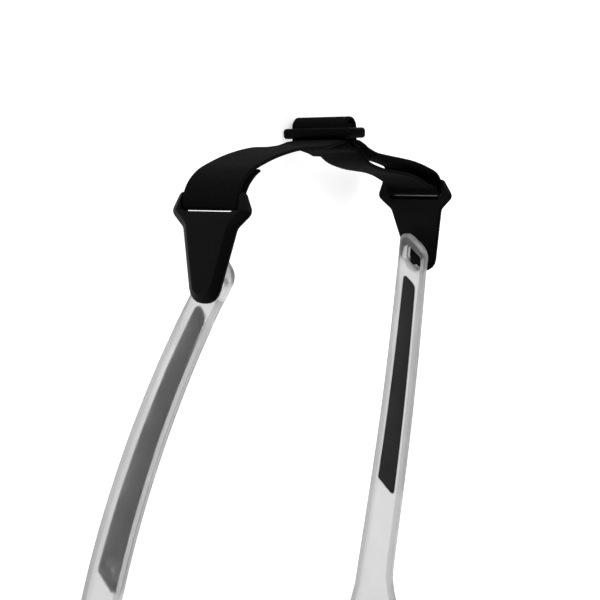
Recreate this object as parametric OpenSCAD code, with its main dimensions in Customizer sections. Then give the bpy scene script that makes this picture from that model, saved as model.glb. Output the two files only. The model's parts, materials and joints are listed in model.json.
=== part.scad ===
// Shield sunglasses with a removable elastic strap.
// Three spaces nest here. Arm space has X across the head, Y to the back, Z up and the hinge line
// at Y = 0. Front space is arm space tilted with the lens. Strap space hangs from the arm tips.
// The finished model stands on the lens and on the lower end of the strap slide.

/* [Temple arms] */
// Distance between the outer faces of the arms at the hinges
hinge_span = 138.2; // [134:0.2:146]
// Length of an arm from the hinge line to its rearmost point
arm_l = 140; // [138:0.5:144]
// Thickness of an arm behind the hinge
arm_t = 3; // [2.8:0.1:3.6]
// Height of an arm at the hinge, without the flare
arm_h = 14.2; // [13.6:0.1:16]
// Height lost per millimetre towards the tip
arm_taper = 0.033; // [0.028:0.001:0.036]
// Radius of the inward bow seen from above
bow_r = 341; // [320:1:380]
// Distance behind the hinge at which the bow starts
bow_start = 15; // [10:1:20]
// Distance behind the hinge of the lowest point of the arm
sag_y = 75.7; // [70:0.5:80]
// Radius of the sagging middle line seen from the side
sag_r = 874; // [800:1:1000]
// Distance from the lowest point at which the ends have risen one further millimetre
sag_end = 73; // [70:1:80]
// Height of the middle line at its lowest point
sag_z = -1.4; // [-2:0.1:-1]
// Height of the flare that meets the brow
flare_h = 6.5; // [5:0.1:8]
// Distance behind the hinge at which the flare starts
flare_start = 23; // [20:1:26]
// Height of the lower bevel
bevel_lo = 2.4; // [1.8:0.1:2.8]
// Height of the upper bevel
bevel_hi = 1.5; // [1:0.1:2]
// Depth of both bevels
bevel_d = 0.8; // [0.5:0.05:1]
// Rearward lean of slanted ends, per millimetre of height
slant = 0.58; // [0.45:0.01:0.65]
// Radius of the lower corner of the tip
tip_r = 3; // [2:0.1:3.5]
// Radius of the upper corner of the tip
shoulder_r = 4.5; // [3:0.1:5]

/* [Soft inlays] */
// Distance of the lower front corner of the inlay behind the hinge
pad_front = 53.4; // [50:0.2:60]
// Length of the inlay
pad_l = 73.6; // [60:0.2:74]
// Distance between the edges of the arm and of the inlay
pad_rim = 2.7; // [2.5:0.05:3]
// Distance of the inlay above the middle of the arm
pad_rise = 0.35; // [0:0.05:0.5]
// Depth of the inlay
pad_t = 0.9; // [0.6:0.05:1.1]
// Clearance round the inlay
pad_gap = 0.1; // [0.05:0.01:0.15]
// Distance of the locating rib behind the front end of the inlay
key_back = 4.2; // [3.5:0.1:6]
// Width of the locating rib
key_w = 0.6; // [0.4:0.05:0.8]

/* [Arm window] */
// Width of the window at the arm tip
window_w = 5.7; // [5.4:0.1:6.2]
// Height of the window
window_h = 6.2; // [5.8:0.1:6.4]
// Distance of the window's lower rear corner in front of the tip
window_back = 2.4; // [2.3:0.1:3]
// Width of the ledge in the window that leaves the hole for the stud
ledge = 0.4; // [0.3:0.05:0.45]
// Thickness of the ledge
ledge_t = 1.2; // [1:0.1:1.4]
// Height of the middle of the window above the middle line of the arm
window_rise = 0.5; // [0.3:0.1:0.7]
// Corner radius of the window
window_r = 1.2; // [0.8:0.1:1.6]

/* [Hinges] */
// Forward tilt of the hinge axes and of the front
panto = 11; // [10:0.5:13]
// Depth of a hinge axis below the outer face
axis_in = 3.2; // [3.1:0.1:3.5]
// Radius of the knuckles
knuckle_r = 2.3; // [2.1:0.05:2.3]
// Height of the knuckle on the arm
tongue_h = 4.4; // [3.6:0.1:5]
// Height of each ear of the fork on the front
ear_h = 3.2; // [2.8:0.1:3.6]
// Height of the middle of the hinge
hinge_z = 4; // [3:0.1:5]
// Clearance between the moving faces of a hinge
hinge_gap = 0.3; // [0.25:0.01:0.4]
// Radius of the hinge screw
screw_r = 0.7; // [0.6:0.05:0.8]
// Radial clearance of the screw in the arm knuckle
screw_fit = 0.05; // [0.03:0.01:0.08]
// Radius of the screw head
head_r = 1.3; // [1.2:0.05:1.4]
// Height of the screw head
head_h = 0.9; // [0.7:0.05:1]

/* [Front] */
// Distance from the hinge line forward to the lens
lens_reach = 44; // [42:0.5:46]
// Distance of the lens ends in front of the hinge line
lens_end = 14; // [13.5:0.5:16]
// Thickness of the lens
lens_t = 2.2; // [1.8:0.1:2.4]
// Thickness of the frame in front of the lens
cover = 1.3; // [1.1:0.1:1.5]
// Distance of the lens ends inside the outer face of the end pieces
corner_in = 4.8; // [4.4:0.1:5.2]
// Thickness of the brow bar
bar_t = 4.8; // [4.6:0.1:5.2]
// Height of the top of the brow at its middle
brow_top = 20; // [19:0.5:22]
// Height of the brow bar at its middle
bar_h = 7.5; // [6.5:0.1:8]
// Depth of the lens groove
groove = 3.2; // [2.6:0.1:3.6]
// Clearance of the lens in its groove
lens_gap = 0.1; // [0.05:0.01:0.15]
// Depth of the lens lobes below the hinge line
lobe = 24.5; // [22:0.5:26]
// Height of the top of the nose notch below the hinge line
notch_top = 3.4; // [2:0.1:5]
// Half width of the nose notch at its lower end
notch_w = 13; // [12:0.5:14]

/* [Nose clip] */
// Width of the clip over the lens edge
clip_over = 1.4; // [1.2:0.1:1.8]
// Width of the clip outside the lens edge
clip_out = 1.6; // [1.3:0.1:2]
// Thickness of the clip on each side of the lens
clip_t = 1; // [0.8:0.1:1.2]
// Radius of the stubs that carry the nose pads
stub_r = 1.1; // [1:0.05:1.2]
// Length of the stubs behind the lens
stub_l = 6.5; // [6:0.1:8]
// Length of a nose pad between its end centres
nose_pad_l = 8.5; // [7:0.5:10]
// Clearance of a stub in its pad
stub_gap = 0.05; // [0.03:0.01:0.1]

/* [Strap] */
// Downward lean of the strap behind the arm tips
droop = 15.6; // [10:0.1:20]
// Width of the elastic tape
tape_w = 18.8; // [18:0.1:19.2]
// Thickness of the elastic tape
tape_t = 1; // [0.8:0.05:1.1]
// Distance from the studs back to the tape slots
stud_back = 18.6; // [18.2:0.1:19]
// Radius of the connector studs
stud_r = 1.6; // [1.5:0.05:1.7]
// Depth to which a stud enters its window
stud_in = 1.5; // [1:0.1:2]
// Gap between the outer face of the arm and the connector at the stud
stand_off = 1.7; // [1.6:0.1:2]
// Angle between the two connector plates and the strap's length
connector_lean = 9.65; // [8:0.05:11]
// Thickness of a connector
connector_t = 2.6; // [2.4:0.1:3]
// Thickness of the rim of a connector
rim_t = 1.2; // [1:0.1:1.4]
// Width of the bevel round the face of a connector
face_bevel = 2.2; // [1.8:0.1:2.5]
// Height of a connector across its wings
wing_h = 27; // [26:0.2:28]
// Height of the tape slot
slot_w = 1.6; // [1.5:0.05:1.7]
// Distance of the rounded end of a connector beyond its stud
apex_l = 4.5; // [4.2:0.1:5.5]
// Height of the bar that holds the tape
rail_w = 2.2; // [2:0.1:2.4]

/* [Slide] */
// Length of the slide
slide_l = 23.2; // [22:0.1:24]
// Width of the slide
slide_w = 8.6; // [8.4:0.1:9.4]
// Thickness of the slide
slide_t = 2.9; // [2.6:0.1:3.2]
// Distance of the slide behind the tape slots
slide_y = 18.3; // [18:0.1:18.8]
// Offset of the slide towards the wearer's left
slide_x = 1.4; // [1.2:0.1:1.6]
// Width of the middle bar of the slide
middle_w = 1.1; // [0.9:0.05:1.2]
// Height of the tape's arch over the slide
hump_h = 3.1; // [2.4:0.1:3.6]
// Clearance between the tape and what it passes
tape_gap = 0.1; // [0.05:0.01:0.12]

/* [Hidden] */
$fn = 48;
// Colours of the pieces
frosted = [0.86, 0.87, 0.87];
smoke = [0.20, 0.22, 0.24];
ink = [0.07, 0.07, 0.08];
steel = [0.62, 0.63, 0.65];
// Steps in one rounded corner, and along the arm, its inlay, the brow and one bend of a curve
corner_n = 4;
arm_n = 34;
pad_n = 12;
brow_n = 22;
end_n = 8;
bend_n = 3;
// Height of the locating rib, and width and depth of the bevel round the mouth of the window
key_t = 0.35;
mouth_w = 0.35;
mouth_d = 0.4;
// Bevel round the face of the inlay
pad_bevel = 0.15;
// Overshoot of a cut past the faces that it opens
over = 1;
big = 60;

// Places that follow from the sizes above
half = hinge_span / 2;
axis_x = half - axis_in;
hinge_t = axis_in + knuckle_r;
thin_y = 14;
flare_l = flare_start - 1;
lens_edge = half - corner_in;
lens_sag = lens_reach - lens_end;
lens_r = (lens_edge * lens_edge + lens_sag * lens_sag) / (2 * lens_sag);
lens_y = lens_r - lens_reach;
lens_half = asin(lens_edge / lens_r);
end_line = half - cover;
end_r = (end_line - lens_edge) / (1 - sin(lens_half));
bar_lo = brow_top - bar_h;
lens_top = bar_lo + groove;
stud_y = arm_l - window_back - window_w / 2 - slant * window_h / 2;
end_hi = arm_hi(-arm_hi(0) * tan(panto)) / cos(panto);
end_lo = arm_lo(-arm_lo(0) * tan(panto)) / cos(panto);
hump_y = slide_y + slide_t + hump_h;
notch = [
    [notch_w, -lobe * 0.69], [notch_w * 0.7, -lobe * 0.38], [notch_w * 0.35, -notch_top - 1.2], [0, -notch_top]
];

// Small helpers
function unit(v) = v / norm(v);
function left_of(v) = [-v[1], v[0]];
function mix(a, b, t) = a + (b - a) * t;
function limit(t) = min(1, max(0, t));
function rise(t) = limit(t) * limit(t) * (3 - 2 * limit(t));
function mirrored(path) = [for (i = [len(path) - 1:-1:0]) [-path[i][0], path[i][1]]];
function lay(outline, x) = [for (p = outline) [x, p[0], p[1]]];

// Points of the corner q, rounded to radius r between the neighbours p and s
function corner(p, q, s, r) =
    let (
        a = unit(p - q),
        b = unit(s - q),
        opening = acos(a * b) / 2,
        c = q + unit(a + b) * r / sin(opening),
        t = q + a * r / tan(opening) - c,
        turn = cross(q - p, s - q) > 0 ? 1 : -1,
        start = atan2(t[1], t[0]),
        sweep = turn * (180 - 2 * opening)
    )
    [for (i = [0:corner_n]) c + r * [cos(start + sweep * i / corner_n), sin(start + sweep * i / corner_n)]];

// Closed outline with each corner rounded to its own radius
function rounded(pts, radii) =
    let (n = len(pts))
    [for (i = [0:n - 1]) each corner(pts[(i + n - 1) % n], pts[i], pts[(i + 1) % n], radii[i])];

// Closed outline moved inwards by d, for an outline that runs counter-clockwise
function inset(pts, d) =
    let (n = len(pts))
    [for (i = [0:n - 1])
        let (
            a = left_of(unit(pts[i] - pts[(i + n - 1) % n])),
            b = left_of(unit(pts[(i + 1) % n] - pts[i]))
        )
        pts[i] + d * (a + b) / (1 + a * b)];

// Smooth curve through chosen points
function curve(pts) =
    let (n = len(pts))
    concat(
        [for (i = [0:n - 2], k = [0:bend_n - 1])
            let (
                p0 = pts[max(i - 1, 0)],
                p1 = pts[i],
                p2 = pts[i + 1],
                p3 = pts[min(i + 2, n - 1)],
                t = k / bend_n
            )
            0.5 * (2 * p1 + (p2 - p0) * t + (2 * p0 - 5 * p1 + 4 * p2 - p3) * t * t
                + (3 * p1 - p0 - 3 * p2 + p3) * t * t * t)],
        [pts[n - 1]]
    );

// Open path moved to its left by d
function beside(path, d) =
    let (n = len(path))
    [for (i = [0:n - 1]) path[i] + d * left_of(unit(path[min(i + 1, n - 1)] - path[max(i - 1, 0)]))];

// Solid through layers of equal length. Each layer is a loop whose first half runs out and whose
// second half runs back beside it, so the end faces close in strips between the two.
module skin(layers) {
    n = len(layers[0]);
    m = len(layers);
    top = (m - 1) * n;
    sides = [for (j = [0:m - 2], i = [0:n - 1])
        let (a = j * n + i, b = j * n + (i + 1) % n)
        each [[a, b, b + n], [a, b + n, a + n]]];
    first = [for (i = [0:n / 2 - 2]) each [[i, n - 1 - i, n - 2 - i], [i, n - 2 - i, i + 1]]];
    last = [for (i = [0:n / 2 - 2])
        each [[top + i, top + n - 2 - i, top + n - 1 - i], [top + i, top + i + 1, top + n - 2 - i]]];
    polyhedron([for (layer = layers) each layer], concat(first, sides, last));
}

// Spaces
slide_foot = [0, slide_y + slide_t, -slide_l / 2];
strap_back = stud_y + stud_back * cos(droop);
strap_z = arm_mid(stud_y) + window_rise - stud_back * sin(droop);
rear_foot = [
    strap_back + slide_foot[1] * cos(droop) + slide_foot[2] * sin(droop),
    strap_z - slide_foot[1] * sin(droop) + slide_foot[2] * cos(droop)
];
lens_feet = [for (p = lens_outline(0))
    let (y = lens_face(p[0]))
    [y * cos(panto) - p[1] * sin(panto), y * sin(panto) + p[1] * cos(panto)]];
lens_low = min([for (p = lens_feet) p[1]]);
front_foot = [for (p = lens_feet) if (p[1] == lens_low) p][0];
rest_tilt = atan2(rear_foot[1] - front_foot[1], rear_foot[0] - front_foot[0]);
rest_z = -min([for (p = lens_feet) p[1] * cos(rest_tilt) - p[0] * sin(rest_tilt)]);
brow_front = [
    -(lens_reach + cover) * cos(panto) - (brow_top - bevel_hi) * sin(panto),
    (brow_top - bevel_hi) * cos(panto) - (lens_reach + cover) * sin(panto)
];
hump_back = [
    strap_back + hump_y * cos(droop) + tape_w / 2 * sin(droop),
    strap_z - hump_y * sin(droop) + tape_w / 2 * cos(droop)
];
rest_y = -((brow_front[0] + hump_back[0]) * cos(rest_tilt) + (brow_front[1] + hump_back[1]) * sin(rest_tilt)) / 2;

module in_arm() {
    translate([0, rest_y, rest_z]) rotate([-rest_tilt, 0, 0]) children();
}
module in_front() {
    in_arm() rotate([panto, 0, 0]) children();
}
module in_strap() {
    in_arm() translate([0, strap_back, strap_z]) rotate([-droop, 0, 0]) children();
}
module on_right() {
    mirror([1, 0, 0]) children();
}

// Arm form, for the wearer's left side
function arm_mid(y) = sag_z + pow(y - sag_y, 2) / (2 * sag_r) + pow((y - sag_y) / sag_end, 4);
function arm_half(y) = (arm_h - arm_taper * y) / 2;
function arm_lo(y) = arm_mid(y) - arm_half(y);
function arm_hi(y) = arm_mid(y) + arm_half(y) + flare_h * rise((flare_start - y) / flare_l);
function arm_out(y) = half - (y > bow_start ? bow_r - sqrt(bow_r * bow_r - pow(y - bow_start, 2)) : 0);
function arm_thick(y) = mix(arm_t, hinge_t, rise((thin_y - y) / (thin_y - 2)));

// Side outline of the arm, moved inwards by the bevels times k
function arm_outline(k) =
    let (
        opening = atan2(1, slant) / 2,
        tip = arm_l + tip_r / tan(opening) - tip_r - k * bevel_d * norm([1, slant]),
        start = -arm_hi(0) * tan(panto) - over,
        low_z = arm_lo(arm_l) + k * bevel_lo * 0.5,
        high_z = arm_hi(arm_l) - k * bevel_hi * 0.7,
        low = [tip - slant * (low_z - arm_lo(arm_l)), low_z],
        high = [tip - slant * (high_z - arm_lo(arm_l)), high_z],
        step_lo = (low[0] - start) / arm_n,
        step_hi = (high[0] - start) / arm_n,
        ease = [for (i = [0:arm_n - 2]) 1 - 0.5 * rise((i - arm_n + 6) / 4)],
        lower = [for (i = [0:arm_n - 2])
            let (y = start + step_lo * i) [y, arm_lo(y) + k * bevel_lo * ease[i]]],
        upper = [for (i = [arm_n - 2:-1:0])
            let (y = start + step_hi * i) [y, arm_hi(y) - k * bevel_hi * mix(1, ease[i], 0.6)]]
    )
    concat(
        lower,
        corner(lower[arm_n - 2], low, high, tip_r - k * bevel_d),
        corner(low, high, upper[0], shoulder_r - k * bevel_d),
        upper
    );

// Outline of a slanted panel along the arm. Its edges stand at heights low and high off the middle
// line of the arm, moved out by the share follow of the arm's half height.
function edge_z(y, height, follow) = arm_mid(y) + height + follow * arm_half(y);
function panel(front, rear, low, high, follow, radii, steps) =
    let (
        front_top = front - slant * (high - low + 2 * follow * arm_half(front)),
        rear_top = rear - slant * (high - low + 2 * follow * arm_half(rear)),
        lower = [for (i = [0:steps]) let (y = mix(front, rear, i / steps)) [y, edge_z(y, low, -follow)]],
        upper = [for (i = [steps:-1:0])
            let (y = mix(front_top, rear_top, i / steps)) [y, edge_z(y, high, follow)]]
    )
    concat(
        corner(upper[steps], lower[0], lower[1], radii[0]),
        [for (i = [1:1:steps - 1]) lower[i]],
        corner(lower[steps - 1], lower[steps], upper[0], radii[1]),
        corner(lower[steps], upper[0], upper[1], radii[2]),
        [for (i = [1:1:steps - 1]) upper[i]],
        corner(upper[steps - 1], upper[steps], lower[0], radii[3])
    );

function below_outer(outline, d) = [for (p = outline) [arm_out(p[0]) - d, p[0], p[1]]];
function above_inner(outline, d) = [for (p = outline) [arm_out(p[0]) - arm_thick(p[0]) + d, p[0], p[1]]];

function pad_outline(gap) = panel(
    pad_front - gap, pad_front + pad_l + gap,
    pad_rise + pad_rim - gap, pad_rise - pad_rim + gap, 1,
    [1, 1, 2.4, 1], pad_n
);
function window_outline(d) =
    let (rear = arm_l - window_back)
    panel(
        rear - window_w - d, rear + d,
        window_rise - window_h / 2 - d, window_rise + window_h / 2 + d, 0,
        [window_r, window_r, window_r, window_r], 1
    );

// Outline of the locating rib across the inlay, grown by gap
function key_outline(gap) =
    let (
        low = pad_front + key_back,
        height = 2 * (arm_half(low) - pad_rim),
        z = edge_z(low, pad_rise + pad_rim, -1),
        w = key_w / 2 + gap
    )
    [[low - w, z], [low + w, z], [low + w - slant * height, z + height], [low - w - slant * height, z + height]];

// Bare arm before its hinge is cut
module arm_blank() {
    difference() {
        skin([
            below_outer(arm_outline(1), 0),
            below_outer(arm_outline(0), bevel_d),
            above_inner(arm_outline(0), bevel_d),
            above_inner(arm_outline(1), 0)
        ]);
        skin([above_inner(pad_outline(pad_gap), pad_t + pad_gap), above_inner(pad_outline(pad_gap), -over)]);
        skin([
            above_inner(window_outline(0), arm_t - ledge_t),
            above_inner(window_outline(0), mouth_d),
            above_inner(window_outline(mouth_w), 0),
            above_inner(window_outline(mouth_w), -over)
        ]);
        skin([lay(window_outline(-ledge), half), lay(window_outline(-ledge), 0)]);
    }
    skin([above_inner(key_outline(0), pad_t + pad_gap + 0.05), above_inner(key_outline(0), pad_t - key_t)]);
}

// Hinge parts, in front space on the wearer's left side
module knuckle(h, r) {
    translate([axis_x, 0, hinge_z - h / 2]) cylinder(r = r, h = h);
}
module block(x0, x1, y0, y1, z0, z1) {
    translate([x0, y0, z0]) cube([x1 - x0, y1 - y0, z1 - z0]);
}
module knuckle_room() {
    knuckle(big, knuckle_r + hinge_gap);
}
module tongue() {
    knuckle(tongue_h, knuckle_r);
    block(
        axis_x - knuckle_r, axis_x + knuckle_r,
        0, knuckle_r + 2 * hinge_gap + over,
        hinge_z - tongue_h / 2, hinge_z + tongue_h / 2
    );
}
fork_h = tongue_h + 2 * (hinge_gap + ear_h);
module fork() {
    difference() {
        union() {
            knuckle(fork_h, knuckle_r);
            block(
                axis_x - knuckle_r, axis_x + knuckle_r,
                -knuckle_r - hinge_gap - over, 0,
                hinge_z - fork_h / 2, hinge_z + fork_h / 2
            );
        }
        knuckle(tongue_h + 2 * hinge_gap, knuckle_r + hinge_gap);
        block(
            axis_x - big, axis_x,
            -knuckle_r - hinge_gap, big,
            hinge_z - tongue_h / 2 - hinge_gap, hinge_z + tongue_h / 2 + hinge_gap
        );
    }
}
screw_l = fork_h - 1.2;

module left_arm() {
    difference() {
        union() {
            difference() {
                in_arm() arm_blank();
                in_front() {
                    block(-big, big + half, -big, hinge_gap / 2, -big, big);
                    block(axis_x - big, axis_x, -big, knuckle_r + hinge_gap * 1.3, -big, big);
                    knuckle_room();
                }
            }
            in_front() tongue();
        }
        in_front() knuckle(big, screw_r + screw_fit);
    }
}

// Front form
function lens_face(x) = lens_y - sqrt(lens_r * lens_r - x * x);
function brow_hi(x) = mix(brow_top, end_hi, pow(x / end_line, 2));
function brow_lo(x) = mix(bar_lo, end_lo, rise((abs(x) - 34) / (lens_edge - 37)));

// Plan stations of the brow from the middle to the wearer's left hinge: place and heading
brow_half = concat(
    [for (i = [0:brow_n])
        let (a = lens_half * i / brow_n) [lens_r * sin(a), lens_y - lens_r * cos(a), a]],
    [for (i = [1:end_n])
        let (a = mix(lens_half, 90, i / end_n))
        [lens_edge + end_r * (sin(a) - sin(lens_half)), -lens_end + end_r * (cos(lens_half) - cos(a)), a]],
    [[end_line, over, 90]]
);
brow_path = concat(
    [for (i = [len(brow_half) - 1:-1:1]) [-brow_half[i][0], brow_half[i][1], -brow_half[i][2]]],
    brow_half
);

// Section of the brow at one station
function brow_ring(s) =
    let (
        t = mix(bar_t, hinge_t, pow(s[0] / end_line, 2)),
        hi = brow_hi(s[0]),
        lo = brow_lo(s[0]),
        into = [-sin(s[2]), cos(s[2])],
        section = [
            [t, lo + bevel_lo], [t - bevel_d, lo], [bevel_d, lo], [0, lo + bevel_lo],
            [0, hi - bevel_hi], [bevel_d, hi], [t - bevel_d, hi], [t, hi - bevel_hi]
        ]
    )
    [for (p = section) let (q = [s[0], s[1]] + into * (p[0] - cover)) [q[0], q[1], p[1]]];

// Front outline of the lens, grown by gap
function lens_side(gap) = concat(
    corner([0, lens_top + gap], [lens_edge - 0.5 + gap, lens_top + gap], [lens_edge - 0.5 + gap, 0], 4),
    curve([
        [lens_edge - 0.5 + gap, -2],
        [lens_edge - 3.5, -lobe * 0.43],
        [lens_edge - 12, -lobe * 0.755],
        [lens_edge - 24, -lobe * 0.95],
        [28, -lobe],
        [notch_w + 5.5, -lobe * 0.92],
        each notch
    ])
);
function lens_outline(gap) =
    let (side = lens_side(gap), n = len(side))
    concat(side, [for (i = [n - 2:-1:0]) [-side[i][0], side[i][1]]]);

// Ring about the lens axis between two radii
module shell(outer, inner) {
    translate([0, lens_y, -big / 2])
        difference() {
            cylinder(r = outer, h = big, $fn = 180);
            translate([0, 0, -over]) cylinder(r = inner, h = big + 2 * over, $fn = 180);
        }
}
// Outline in the front view, extruded from the lens towards the face
module front_prism(outline) {
    rotate([90, 0, 0]) linear_extrude(height = lens_reach + 2 * over) polygon(outline);
}
module lens_solid(gap) {
    intersection() {
        shell(lens_r + gap, lens_r - lens_t - gap);
        front_prism(lens_outline(gap));
    }
}

module both_sides() {
    children();
    mirror([1, 0, 0]) children();
}

module front_frame() {
    color(frosted)
        in_front()
        difference() {
            union() {
                difference() {
                    skin([for (s = brow_path) brow_ring(s)]);
                    lens_solid(lens_gap);
                    both_sides() {
                        block(0, big + half, -hinge_gap / 2, big, -big, big);
                        block(axis_x - big / 4, axis_x, -knuckle_r - hinge_gap, big, -big, big);
                        knuckle_room();
                    }
                }
                both_sides() fork();
            }
            both_sides() {
                knuckle(big, screw_r + 0.01);
                translate([axis_x, 0, hinge_z + fork_h / 2 - head_h - 0.1]) cylinder(r = head_r + 0.05, h = big);
            }
        }
}

module shield_lens() {
    color(smoke) in_front() lens_solid(0);
}

// Nose clip: a channel over the edge of the notch, with two stubs for the pads
clip_half = curve([for (p = notch) if (p[1] > -lobe * 0.7) p[1] < -lobe * 0.5 ? mix(p, notch[1], 0.25) : p]);
clip_path = concat(clip_half, [for (p = mirrored(clip_half)) if (p[0] < 0) p]);
stub_x = notch_w * 0.7 + 0.2;
stub_z = -lobe * 0.47;
stub_start = lens_face(stub_x) + lens_t;
module nose_clip() {
    color(ink)
        in_front()
        difference() {
            union() {
                intersection() {
                    shell(lens_r + clip_t, lens_r - lens_t - clip_t);
                    front_prism(concat(
                        beside(clip_path, -clip_over),
                        [for (i = [len(clip_path) - 1:-1:0]) beside(clip_path, clip_out)[i]]
                    ));
                }
                both_sides()
                    translate([stub_x, stub_start + clip_t / 2, stub_z])
                    rotate([-90, 0, 0])
                    cylinder(r = stub_r, h = stub_l - clip_t / 2);
            }
            lens_solid(0.05);
        }
}

// Soft pad pushed onto a stub, narrow above and full below
module nose_pad() {
    color(ink)
        in_front()
        difference() {
            translate([stub_x, stub_start + stub_l - 0.6, stub_z])
                rotate([0, 16, -28])
                hull() {
                    translate([0, 0.6, nose_pad_l / 2]) sphere(r = 1.7, $fn = 24);
                    translate([0, 0.4, -nose_pad_l / 2]) sphere(r = 2.2, $fn = 24);
                    translate([-1.6, 1.4, -nose_pad_l / 2 + 1]) sphere(r = 1.5, $fn = 24);
                    translate([1.5, 0.9, -nose_pad_l / 2 + 1.5]) sphere(r = 1.5, $fn = 24);
                }
            translate([stub_x, stub_start, stub_z])
                rotate([-90, 0, 0])
                cylinder(r = stub_r + stub_gap, h = stub_l + stub_gap);
        }
}

module hinge_screw() {
    color(steel)
        in_front()
        translate([axis_x, 0, hinge_z + fork_h / 2 - head_h - 0.1])
        difference() {
            union() {
                cylinder(r = head_r, h = head_h);
                translate([0, 0, -screw_l + head_h]) cylinder(r = screw_r, h = screw_l - head_h);
            }
            translate([-head_r - over, -0.2, head_h / 2]) cube([2 * head_r + 2 * over, 0.4, head_h]);
        }
}

module arm_inlay() {
    color(ink)
        in_arm()
        difference() {
            skin([
                above_inner(pad_outline(0), pad_t),
                above_inner(pad_outline(0), pad_bevel),
                above_inner(pad_outline(-pad_bevel), 0)
            ]);
            skin([
                above_inner(key_outline(pad_gap), pad_t + over),
                above_inner(key_outline(pad_gap), pad_t - key_t - pad_gap)
            ]);
        }
}

// Connector form, in its own space: X outwards, Y to the back, Z up, inner face at X = 0
inner_x = arm_out(stud_y) + stand_off - stud_back * tan(connector_lean);
stud_from = stud_back / cos(connector_lean);
module in_connector() {
    in_strap() translate([inner_x, 0, 0]) rotate([0, 0, connector_lean]) children();
}
slot_lo = 0.1;
slot_hi = slot_lo + slot_w;
rail_hi = slot_hi + rail_w;
slot_half = tape_w / 2 + 0.35;
slot_bevel = 0.85;
fillet_l = 1.9;
fillet_top = 1.4;
mouth_rise = 0.7;
wing = wing_h / 2;
wing_y = 5.3;
wing_in = 2.7;
neck = 9;
end_half = 4.3;
connector_corners = [
    [-stud_from - apex_l, -end_half], [-4, -neck], [0, -wing], [wing_y, -wing + wing_in],
    [wing_y, wing - wing_in], [0, wing], [-4, neck], [-stud_from - apex_l, end_half]
];
connector_radii = [4.7, 2.5, 1.8, 1.7, 1.7, 1.8, 2.5, 4.7];
function connector_outline(d) = rounded(
    inset(connector_corners, d),
    [for (i = [0:7]) max(0.5, connector_radii[i] + (i == 1 || i == 6 ? d : -d))]
);

// Slot for the tape, in Z and Y. Its lower corners are filled to just below the tape.
slot_top = slot_hi - tape_gap - tape_t - 0.08;
slot_outline = [for (p = [
        [-slot_half + fillet_l, slot_lo], [slot_half - fillet_l, slot_lo], [slot_half - fillet_top, slot_top],
        [slot_half, slot_top], [slot_half, slot_hi], [-slot_half, slot_hi],
        [-slot_half, slot_top], [-slot_half + fillet_top, slot_top]
    ]) [-p[0], p[1]]];
// Channel over the rail, in X and Z, with bevelled edges towards the outer face
channel_outline = [
    [rim_t - 0.2, -slot_half], [connector_t - 0.5, -slot_half],
    [connector_t - 0.5 + mouth_rise, -slot_half - mouth_rise], [big, -slot_half - mouth_rise],
    [big, slot_half + mouth_rise], [connector_t - 0.5 + mouth_rise, slot_half + mouth_rise],
    [connector_t - 0.5, slot_half], [rim_t - 0.2, slot_half]
];

module connector() {
    color(ink)
        in_connector() {
            difference() {
                skin([
                    lay(connector_outline(face_bevel), connector_t),
                    lay(connector_outline(0.25), rim_t + 0.15),
                    lay(connector_outline(0), rim_t - 0.2),
                    lay(connector_outline(0), 0.4),
                    lay(connector_outline(0.4), 0)
                ]);
                translate([-over, 0, 0])
                    rotate([0, 90, 0])
                    linear_extrude(height = connector_t + 2 * over)
                    polygon(slot_outline);
                translate([-over, rail_hi, -slot_half]) cube([connector_t + 2 * over, big, 2 * slot_half]);
                translate([0, slot_top, 0])
                    rotate([-90, 0, 0])
                    linear_extrude(height = big)
                    polygon(channel_outline);
                translate([0, slot_lo, 0])
                    rotate([0, 0, 45])
                    cube([slot_bevel * sqrt(2), slot_bevel * sqrt(2), 2 * slot_half - 2], center = true);
            }
            translate([0.1, -stud_from, 0])
                rotate([0, -90, 0])
                cylinder(r = stud_r, h = stand_off + stud_in + 0.1);
        }
}

// Tape: one length, drawn in the strap plane. It starts at its sewn end, goes round the middle
// bar of the slide, out to the left rail, back over the first layer, up through the slide and
// over its bar, on to the right rail, and ends in the free tail.
layer = tape_t + tape_gap;
sewn = middle_w / 2 + layer - tape_t / 2;
running = sewn + layer + tape_gap / 2;
arch = hump_y - tape_t / 2;
top_y = slide_y + slide_t;
rail_x = inner_x - (slot_hi + rail_w / 2) * tan(connector_lean);
rail_out = rail_x + (rim_t - 0.2) / cos(connector_lean) + tape_gap / 2 + tape_t / 2;
rail_in = rail_x - tape_gap - tape_t / 2;
slot_mid = slot_hi - tape_gap - tape_t / 2;
turn_r = tape_t / 2 + 1.5 * tape_gap;
function rail_turn(a, b) = concat(
    corner([a, 4], [a, slot_mid], [b, slot_mid], turn_r),
    corner([a, slot_mid], [b, slot_mid], [b, 4], turn_r)
);

// The long runs are drawn for rails 45.5 mm from the middle and a slide 18.3 mm behind them, and
// spread with both.
spread_x = rail_in / 45.5;
spread_y = slide_y / 18.3;
function spread(points) = [for (p = points) [p[0] * spread_x, p[1] * spread_y]];

sewn_end = [
    [slide_x + 5.8, slide_y - 4.65], [slide_x + 4.4, slide_y - 3.95], [slide_x + 3.4, slide_y - 3.6],
    [slide_x + 1.9, slide_y - 3.2], [slide_x + 0.3, slide_y - 2.75], [slide_x - 0.8, slide_y - 1.8],
    [slide_x - sewn, slide_y - 0.2]
];
sewn_loop = [
    [slide_x - sewn, top_y - 0.5], [slide_x - sewn + 0.25, top_y + 0.4], [slide_x, top_y + 0.8],
    [slide_x + sewn - 0.25, top_y + 0.4], [slide_x + sewn, top_y - 0.5], [slide_x + sewn, slide_y + 0.3]
];
inner_run = [
    [slide_x + sewn + 0.2, slide_y - 1], [slide_x + sewn + 1.1, slide_y - 2], [slide_x + 3.8, slide_y - 2.3],
    [slide_x + 4.9, slide_y - 2.65], [slide_x + 6.3, slide_y - 3.35], [slide_x + 7.8, slide_y - 4.25],
    each spread([[11.8, 12.3], [14.7, 11.1]])
];
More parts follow.
